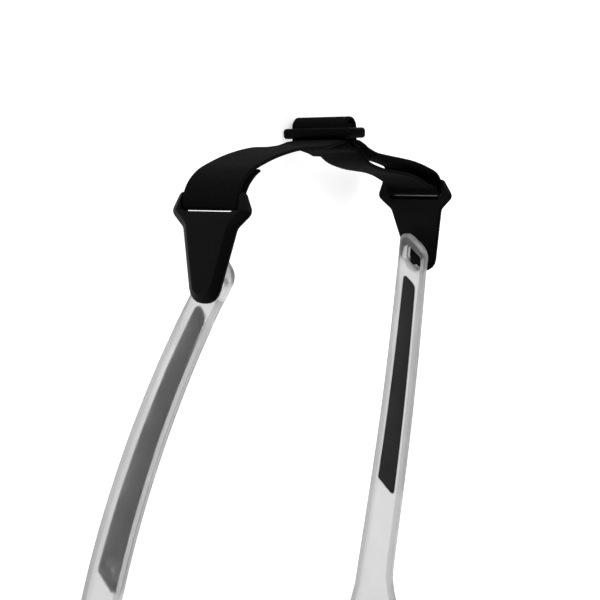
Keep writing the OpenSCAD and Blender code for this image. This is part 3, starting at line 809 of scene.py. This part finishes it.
@dataclass
class ElasticTape:
    """The elastic: one length in the strap plane, drawn as in the CAD source, in millimetres.

    X runs to the side and Y to the back. The sizes down to drawn_reach are those of the source.
    Selvedge is the reach of a rounded edge. Twist and shear are how far the upper edge of the far
    runs leans to the back and to the side. Grow_inner, grow_outer and fade are the places where
    that lean begins and ends, each with the length over which it changes, and a stretch that
    passes rail_side turns round the far rail.
    """

    stance: Stance
    droop: float = 15.6
    stud_back: float = 18.6
    width: float = 18.8
    thick: float = 1.0
    gap: float = 0.1
    slide_x: float = 1.4
    slide_y: float = 18.3
    slide_t: float = 2.9
    hump: float = 3.1
    middle: float = 1.1
    inner_x: float = 46.588
    lean: float = 9.65
    slot_lo: float = 0.1
    slot: float = 1.6
    rail: float = 2.2
    rim: float = 1.2
    drawn_reach: float = 45.5
    selvedge: float = 0.8
    twist: float = 0.8
    shear: float = 2.0
    grow_inner: tuple[float, float] = (3.5, 8.0)
    grow_outer: tuple[float, float] = (8.0, 12.0)
    fade: tuple[float, float] = (46.4, 4.5)
    rail_side: float = 40.0
    ribs: int = 22
    rib_depth: float = 0.015
    selvedge_points: int = 9
    turn_steps: int = 8
    spacing: float = 0.3
    per_span: int = 12

    def __post_init__(self) -> None:
        """Work out where the strap space lies, and the planes of the tape at the rails."""
        self.tilt = self.stance.tilt + math.radians(self.droop)
        back = np.array([0, math.cos(self.tilt), -math.sin(self.tilt)])
        self.origin = self.stance.window + self.stud_back * MM * back
        lean = math.radians(self.lean)
        rail_x = self.inner_x - (self.slot_lo + self.slot + self.rail / 2) * math.tan(lean)
        self.rail_out = rail_x + (self.rim - 0.2) / math.cos(lean) + self.gap / 2 + self.thick / 2
        self.rail_in = rail_x - self.gap - self.thick / 2

    def spread(self, points: list[tuple[float, float]]) -> list[tuple[float, float]]:
        """Spread the points of a long run with the rails."""
        return [(x * self.rail_in / self.drawn_reach, y) for x, y in points]

    def about_slide(self, points: list[tuple[float, float]]) -> list[tuple[float, float]]:
        """Points given from the middle of the slide's inner face."""
        return [(x + self.slide_x, y + self.slide_y) for x, y in points]

    def routes(self) -> dict[str, np.ndarray]:
        """Centre line of each stretch of the tape in the strap plane.

        Returns:
            The stretches in order from the sewn end to the free tail.
        """
        layer = self.thick + self.gap
        sewn = self.middle / 2 + layer - self.thick / 2
        running = sewn + layer + self.gap / 2
        top = self.slide_t
        arch = top + self.hump - self.thick / 2
        sewn_part = self.about_slide([
            (5.8, -4.65), (4.4, -3.95), (3.4, -3.6), (1.9, -3.2), (0.3, -2.75), (-0.8, -1.8),
            (-sewn, -0.2), (-sewn, top - 0.5), (0.25 - sewn, top + 0.4), (0, top + 0.8),
            (sewn - 0.25, top + 0.4), (sewn, top - 0.5), (sewn, 0.3), (sewn + 0.2, -1),
            (sewn + 1.1, -2), (3.8, -2.3), (4.9, -2.65), (6.3, -3.35), (7.8, -4.25),
        ]) + [(11.8, 12.3), (14.7, 11.1)]
        left_inner = self.spread(
            [(20.5, 9.7), (26.5, 8.9), (31.2, 8.3), (36, 7.2), (41, 5.3), (43.4, 4.1)]
        )
        left_outer = [(self.rail_out, 3.1), (self.rail_out - 0.4, 4.9)] + self.spread(
            [(45.6, 7), (43, 8.6), (39.4, 9.75), (34.8, 10.8), (29.9, 11.6), (22.7, 12.6)]
        )
        climb = [(15.6, 13.7), (12.3, 14.5)] + self.about_slide([
            (8.4, -3), (6.9, -2.2), (5.5, -1.55), (4.1, -1.05), (running + 0.5, -0.85),
            (running, 0), (running, top - 0.2), (running - 0.15, top + 1.05),
            (1.55, arch - 0.65), (0.85, arch - 0.12), (0, arch),
        ])
        descent = self.about_slide([
            (-0.85, arch - 0.12), (-1.55, arch - 0.65), (0.15 - running, top + 1.05),
            (-running, top - 0.2), (-running, 0), (-running - 0.5, -0.9),
        ]) + [(-3.9, 17.1), (-6, 16.65), (-8.7, 16.2), (-13.4, 15.9)]
        right_outer = self.spread([
            (-18.9, 15.9), (-22.3, 15.6), (-25.8, 15.1), (-30.9, 14.1), (-36, 12.7), (-41, 10.95),
            (-44.2, 8.95), (-46.1, 7),
        ]) + [(0.4 - self.rail_out, 4.8), (-self.rail_out, 3.1)]
        tail = [(-self.rail_in, 2.9)] + self.spread(
            [(-44.9, 4.6), (-44, 6.1), (-42.6, 7.8), (-40.2, 9.7), (-38.6, 10.5)]
        )
        to_rail = [(self.rail_in - 0.4, 3)]
        first = spline(np.array(sewn_part + left_inner + to_rail, float), self.per_span)
        second = spline(np.array(left_outer + climb + descent + right_outer, float), self.per_span)
        third = spline(np.array(tail, float), self.per_span)
        low = self.slot_lo + self.slot - self.gap - self.thick / 2
        turn = self.thick / 2 + 1.5 * self.gap
        far_turn = self.rail_turn(self.rail_in, self.rail_out, low, turn)
        near_turn = self.rail_turn(-self.rail_out, -self.rail_in, low, turn)
        sewn_to = (len(sewn_part) - 1) * self.per_span
        far_to = len(left_outer) * self.per_span
        crown = far_to + (len(climb) - 1) * self.per_span
        near_from = crown + len(descent) * self.per_span
        return {
            "sewn_end": first[:sewn_to + 1],
            "far_run": np.concatenate([first[sewn_to:], far_turn, second[:far_to + 1]]),
            "far_bridge": second[far_to:crown + 1],
            "near_bridge": second[crown:near_from + 1],
            "near_run": np.concatenate([second[near_from:], near_turn, third]),
        }

    def rail_turn(self, a: float, b: float, low: float, radius: float) -> np.ndarray:
        """Turn of the tape round a connector's rail, from the plane x = a to the plane x = b.

        Args:
            a: place of the run that comes in.
            b: place of the run that goes out.
            low: place of the middle of the tape under the rail.
            radius: radius of both corners.

        Returns:
            The points of the two rounded corners.
        """
        above = 4.0
        corners = np.array([(a, above), (a, low), (b, low), (b, above)], float)
        return np.concatenate([
            round_turn(*corners[:3], radius, self.turn_steps),
            round_turn(*corners[1:], radius, self.turn_steps),
        ])

    def section(self) -> tuple[np.ndarray, np.ndarray]:
        """Cross-section of the elastic: flat faces with fine ribs, and rounded selvedges.

        Each face stands at half the thickness, lowered by a small cosine wave with one crest for
        each rib. Each selvedge is half an ellipse.

        Returns:
            Offsets over the thickness and across the width, and the distance run along the outline.
        """
        half_t, half_w = self.thick / 2, self.width / 2
        edge = half_w - self.selvedge
        flat = np.linspace(-edge, edge, 2 * self.ribs + 1)
        crests = np.cos(2 * np.pi * self.ribs * (flat + half_w) / self.width)
        wave = self.rib_depth * crests - self.rib_depth
        arc = np.linspace(0, np.pi, self.selvedge_points)[1:-1]
        right = np.stack([half_t * np.cos(arc), edge + self.selvedge * np.sin(arc)], -1)
        over = np.stack([half_t + wave, flat], -1)
        under = np.stack([-half_t - wave[::-1], flat[::-1]], -1)
        outline = np.concatenate([over, right, under, -right])
        step = np.linalg.norm(np.roll(outline, -1, 0) - outline, axis=1)
        return outline, np.concatenate([[0], np.cumsum(step)])

    def place(self, flat: np.ndarray) -> np.ndarray:
        """Put points of the strap space into the row frame.

        Args:
            flat: points in millimetres, X across, Y to the back, Z over the tape's width.

        Returns:
            The points in metres.
        """
        c, s = math.cos(self.tilt), math.sin(self.tilt)
        y = flat[:, 1] * c + flat[:, 2] * s
        z = -flat[:, 1] * s + flat[:, 2] * c
        return np.stack([flat[:, 0], y, z], -1) * MM + self.origin

    def headings(self, route: np.ndarray) -> np.ndarray:
        """Unit vectors to the left of a route, each from the two neighbours of its point.

        Args:
            route: points in the strap plane.

        Returns:
            One vector for each point.
        """
        ahead = np.gradient(route, axis=0)
        ahead /= np.linalg.norm(ahead, axis=1)[:, None]
        return np.stack([-ahead[:, 1], ahead[:, 0]], -1)

    def even(self, route: np.ndarray) -> np.ndarray:
        """Respace a route at equal steps of its length.

        Args:
            route: points in the strap plane.

        Returns:
            Points about one spacing apart.
        """
        run = np.concatenate([[0], np.cumsum(np.linalg.norm(np.diff(route, axis=0), axis=1))])
        keep = np.concatenate([[True], np.diff(run) > 1e-6])
        run, route = run[keep], route[keep]
        count = max(3, int(run[-1] / self.spacing) + 1)
        at = np.linspace(0, run[-1], count)
        return np.stack([np.interp(at, run, route[:, k]) for k in range(2)], -1)

    def leaning(self, line: np.ndarray, layer: int) -> np.ndarray:
        """How the far runs lean out of the upright.

        Between the slide and the far rail the strap is a little conical: the upper edge runs ahead
        towards the middle and the wearer. The inner layer keeps the line of its lower edge and the
        outer one that of its upper edge.

        Args:
            line: centre line of the stretch.
            layer: -1 for the inner layer, 1 for the outer one and 0 for the near side.

        Returns:
            For each section its shift to the back, and its slopes to the side and to the back over
            the width.
        """
        x = line[:, 0]
        begin, growth = self.grow_outer if layer > 0 else self.grow_inner
        end, decline = self.fade
        grown = np.clip((x - begin) / growth, 0, 1)
        fading = np.clip((end - x) / decline, 0, 1)
        share = abs(layer) * grown**2 * (3 - 2 * grown) * fading**2 * (3 - 2 * fading)
        sides = np.full(len(line), float(layer))
        if layer < 0 and x.max() > self.rail_side:
            sides[x.argmax():] = 1.0
        back = self.twist * share
        aside = -2 * self.shear * share
        return np.stack([sides * back / 2, aside / self.width, -back / self.width], -1)

    def stretch(self, name: str, route: np.ndarray, start: float, layer: int) -> bpy.types.Object:
        """Sweep the section along a route.

        A point of the surface is the point of the route, plus the section's offset over the
        thickness along the heading, plus the lean times the offset across the width.

        Args:
            name: name of the piece.
            route: centre line in the strap plane.
            start: length of tape before this stretch, for the weave.
            layer: -1 where it starts as the far inner layer, 1 for the outer one, 0 if near.

        Returns:
            The piece, with its UV map in millimetres of tape.
        """
        line = self.even(route)
        side = self.headings(line)
        outline, around = self.section()
        n, m = len(line), len(outline)
        plane = line[:, None, :] + side[:, None, :] * outline[None, :, :1]
        across = np.broadcast_to(outline[None, :, 1:], (n, m, 1))
        lean = self.leaning(line, layer)
        plane[:, :, 0] += lean[:, 1:2] * across[:, :, 0]
        plane[:, :, 1] += lean[:, :1] + lean[:, 2:] * across[:, :, 0]
        points = self.place(np.concatenate([plane, across], -1).reshape(-1, 3))
        piece = mesh_piece(name, points, tube_faces(n, m))
        self.unwrap(piece, n, m, start, around)
        smooth = np.ones(len(piece.data.polygons), bool)
        smooth[-2:] = False
        piece.data.polygons.foreach_set("use_smooth", smooth)
        return piece

    def unwrap(
        self, piece: bpy.types.Object, n: int, m: int, start: float, around: np.ndarray
    ) -> None:
        """Write the UV map: first the length of tape, then the distance round the section.

        Args:
            piece: swept piece.
            n: number of sections.
            m: points in a section.
            start: length of tape before the piece.
            around: distance run along the section at each of its points.
        """
        mesh = piece.data
        uv = mesh.uv_layers.new(name="UVMap")
        ring = np.arange(n - 1)[:, None]
        here = np.arange(m)[None, :]
        shape = (n - 1, m, 4)
        rows = np.broadcast_to(np.stack([ring, ring, ring + 1, ring + 1], -1), shape).reshape(-1)
        turns = np.stack([here, here + 1, here + 1, here], -1)
        columns = np.broadcast_to(turns, shape).reshape(-1)
        values = np.zeros((len(mesh.loops), 2))
        values[:len(rows), 0] = start + rows * self.spacing
        values[:len(rows), 1] = around[columns]
        uv.data.foreach_set("uv", values.reshape(-1))

    def build(self) -> None:
        """Build every stretch: the two runs ride on the strap, and the other stretches stay where
        they are built.
        """
        start = 0.0
        anchor = {"sewn_end": (16.0, 6.0), "far_bridge": (16.0, 6.0), "near_bridge": (-14.0, -4.0)}
        layers = {"sewn_end": -1, "far_run": -1, "far_bridge": 1}
        replaced = {"far_run": "tape_left", "near_run": "tape_right", "far_bridge": "tape_middle"}
        for word, route in self.routes().items():
            piece = self.stretch("elastic_" + word, route, start, layers.get(word, 0))
            start += float(np.linalg.norm(np.diff(route, axis=0), axis=1).sum())
            if word in anchor:
                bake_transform(piece)
            else:
                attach(piece, "strap")
            if node := replaced.get(word):
                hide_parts(node)
            dress(piece, WEBBING)
        LOG.info("elastic: %.0f mm of tape", start)


@dataclass
class Glasses:
    """All rigid pieces of the glasses, in the order of the record."""

    stance: Stance

    def build(self) -> None:
        """Build and report each moulded piece."""
        rows = [
            Moulding("front_frame", "front", FROSTED, edge=0.2, limit=18.0),
            LensMoulding("shield_lens", "front", SMOKE, edge=0.12, axis=self.stance.upright),
            Moulding("nose_clip", "front", NYLON, edge=0.12),
            Moulding("nose_pad_right", "front", RUBBER, edge=0.1),
            Moulding("nose_pad_left", "front", RUBBER, edge=0.1),
        ]
        for side in Side:
            word, arm = side.word, f"{side.word}_arm"
            rows += [
                Moulding(f"{word}_hinge_screw", "front", STEEL, edge=0.06),
                Moulding(f"{word}_temple", arm, FROSTED, edge=0.18, segments=3, limit=18.0),
                Moulding(f"{word}_temple_pad", arm, RUBBER, edge=0.12),
                Moulding(f"{word}_connector", "strap", NYLON, edge=0.13, segments=3, limit=20.0),
            ]
        rows.append(Moulding("strap_slide", "slide", SHADED_SLIDE_NYLON, edge=0.28, segments=3))
        for row in rows:
            piece = row.build()
            LOG.info("%s: %d faces", piece.name, len(piece.data.polygons))


def aim(thing: bpy.types.Object, *columns: object) -> None:
    """Turn a camera or lamp, and link it to the scene.

    Args:
        thing: the camera or lamp.
        columns: its side, up and back directions, and then its place.
    """
    matrix = np.eye(4)
    matrix[:3] = np.stack(columns, -1)
    thing.matrix_world = Matrix(matrix.tolist())
    bpy.context.scene.collection.objects.link(thing)


@dataclass(frozen=True)
class Lamp:
    """A round soft lamp that faces the origin, with its place and size in metres."""

    name: str
    place: tuple[float, float, float]
    size: float
    power: float

    def hang(self) -> None:
        """Put the lamp in its place."""
        data = bpy.data.lights.new(self.name, "AREA")
        data.shape = "DISK"
        data.size = self.size
        data.energy = self.power
        back = np.array(self.place) / np.linalg.norm(self.place)
        side = np.cross((0, 0, 1), back)
        side /= np.linalg.norm(side)
        lamp = bpy.data.objects.new(self.name, data)
        aim(lamp, side, np.cross(back, side), back, self.place)


@dataclass
class Studio:
    """Floor, light and the camera of the photograph, whose three vectors are in the arm space."""

    stance: Stance
    camera_at: tuple[float, float, float] = (-0.33753, 0.23708, 0.23394)
    forward: tuple[float, float, float] = (0.7869, -0.2680, -0.5559)
    up: tuple[float, float, float] = (0.0978, 0.9435, -0.3165)
    lens: float = 90.06
    sensor: float = 36.0
    nearest: float = 0.01
    floor_reach: float = 6.0
    floor_colour: float = 0.93
    floor_rough: float = 0.9
    floor_lift: float = 0.48
    light_level: float = 0.62
    ceiling: float = 0.1
    horizon: float = 0.3

    def build(self) -> None:
        """Build the whole studio."""
        self.camera()
        self.world()
        self.floor()
        self.lamps()

    def camera(self) -> None:
        """Aim the camera by its place and its forward and up vectors."""
        ahead = self.stance.arm_to_row(np.array(self.forward))
        ahead /= np.linalg.norm(ahead)
        over = self.stance.arm_to_row(np.array(self.up))
        over = over - ahead * (over @ ahead)
        over /= np.linalg.norm(over)
        side = np.cross(ahead, over)
        place = self.stance.arm_to_row(np.array(self.camera_at)) + self.stance.hinge
        data = bpy.data.cameras.new("camera")
        data.lens = self.lens
        data.sensor_width = self.sensor
        data.clip_start = self.nearest
        camera = bpy.data.objects.new("camera", data)
        aim(camera, side, over, -ahead, place)
        bpy.context.scene.camera = camera

    def world(self) -> None:
        """White where it is seen, dim overhead in reflections, and an even light on all else."""
        world = bpy.data.worlds.new("studio")
        bpy.context.scene.world = world
        world.use_nodes = True
        graph = Graph(world.node_tree)
        graph.tree.nodes.clear()
        background = graph.add("ShaderNodeBackground")
        background.inputs["Color"].default_value = WHITE
        path = graph.add("ShaderNodeLightPath")
        split = graph.add("ShaderNodeSeparateXYZ")
        graph.join(graph.add("ShaderNodeTexCoord").outputs["Generated"], split.inputs[0])
        height = graph.add("ShaderNodeMapRange", interpolation_type="SMOOTHSTEP")
        graph.join(split.outputs["Z"], height.inputs["Value"])
        height.inputs["From Max"].default_value = self.horizon
        height.inputs["To Min"].default_value = 1.0
        height.inputs["To Max"].default_value = self.ceiling
        glossy = path.outputs["Is Glossy Ray"]
        mirrored = graph.mix(glossy, self.light_level, height.outputs[0])
        graph.join(graph.mix(self.seen(graph), mirrored, 1.0), background.inputs["Strength"])
        output = graph.add("ShaderNodeOutputWorld")
        graph.join(background.outputs[0], output.inputs["Surface"])

    @staticmethod
    def seen(graph: Graph) -> bpy.types.NodeSocket:
        """1 for rays that show a thing straight or through clear plastic, else 0."""
        rays = graph.add("ShaderNodeLightPath").outputs
        return graph.math("MAXIMUM", rays["Is Camera Ray"], rays["Is Transmission Ray"])

    def floor(self) -> None:
        """A wide pale floor that shows white and keeps the shadow."""
        far = self.floor_reach
        corners = np.array([(-far, -far, 0), (far, -far, 0), (far, far, 0), (-far, far, 0)])
        plane = mesh_piece("floor", corners, [(0, 1, 2, 3)])
        material = bpy.data.materials.new("pale_floor")
        material.use_nodes = True
        graph = Graph(material.node_tree)
        shader = graph.tree.nodes["Principled BSDF"]
        shader.inputs["Base Color"].default_value = (self.floor_colour,) * 3 + (1,)
        shader.inputs["Roughness"].default_value = self.floor_rough
        shader.inputs["Specular IOR Level"].default_value = 0.0
        shader.inputs["Emission Color"].default_value = WHITE
        lift = graph.math("MULTIPLY", self.seen(graph), self.floor_lift)
        graph.join(lift, shader.inputs["Emission Strength"])
        plane.data.materials.append(material)

    def lamps(self) -> None:
        """Two large soft lamps: a key over the strap and a fill from the front."""
        Lamp("key", place=(-0.35, 0.75, 0.55), size=0.6, power=4.0).hang()
        Lamp("fill", place=(0.7, -0.4, 0.8), size=0.9, power=3.0).hang()


def main() -> None:
    """Build the studio and every piece."""
    logging.basicConfig(level=logging.INFO)
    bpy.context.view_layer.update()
    bpy.context.scene.view_settings.view_transform = "Standard"
    stance = Stance.read()
    Studio(stance).build()
    grain_group()
    painted_bevel_shade_group()
    weave_group()
    ElasticTape(stance).build()
    Glasses(stance).build()


if __name__ == "__main__":
    main()
